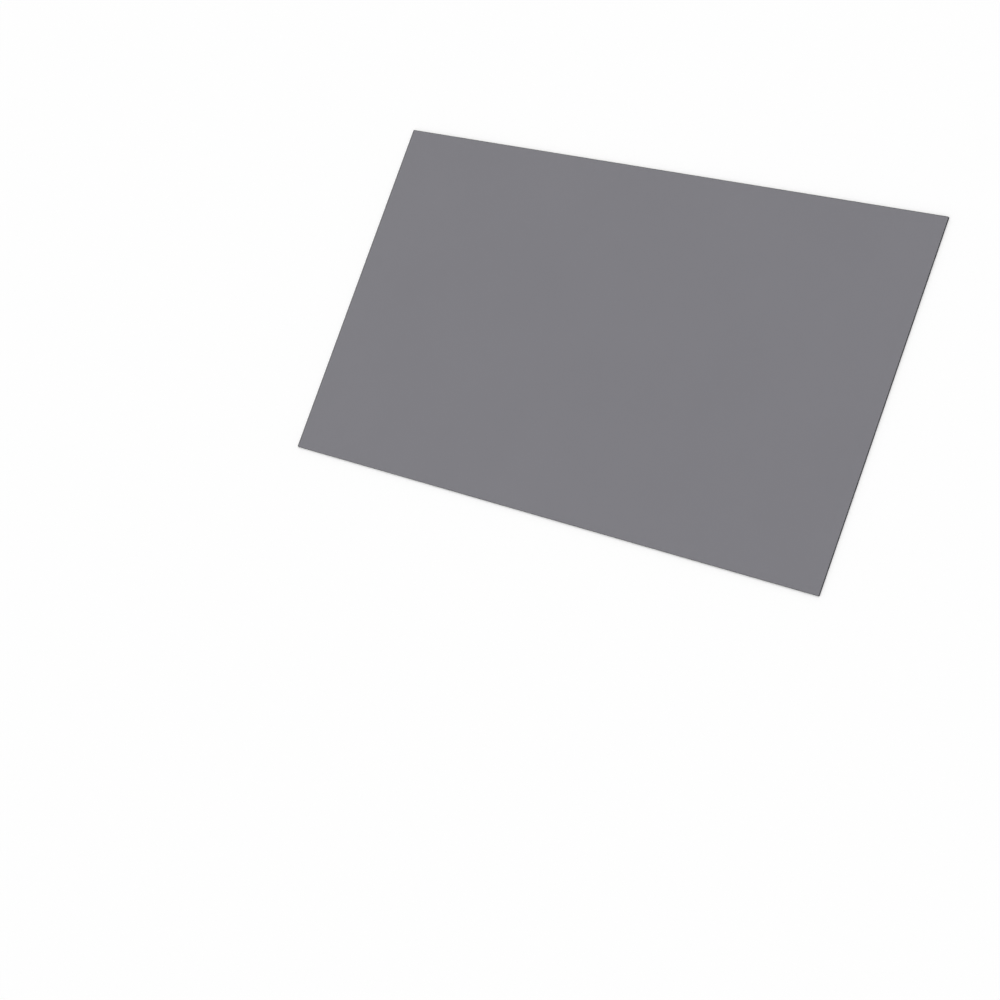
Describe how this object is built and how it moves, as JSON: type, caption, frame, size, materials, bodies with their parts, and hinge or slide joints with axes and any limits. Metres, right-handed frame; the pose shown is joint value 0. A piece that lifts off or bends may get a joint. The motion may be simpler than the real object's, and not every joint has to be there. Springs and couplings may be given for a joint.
{
  "type": "laptop privacy filter",
  "caption": "Flat tinted privacy filter sheet for a wide laptop screen, see-through dark grey plastic with square corners and dark cut edges.",
  "frame": {"origin": "the middle of the screen face, which the sheet rests on", "axes": "+X runs along the width, to the right as the sheet is looked at on the screen; +Y runs towards the edge that is uppermost on the screen; +Z points out of the viewing face"},
  "size_m": [0.344, 0.194, 0.0008],
  "materials": {
    "tinted_sheet": "satin, see-through dark grey"
  },
  "bodies": {
    "root": {"filter_sheet": "tinted_sheet"}
  },
  "joints": []
}
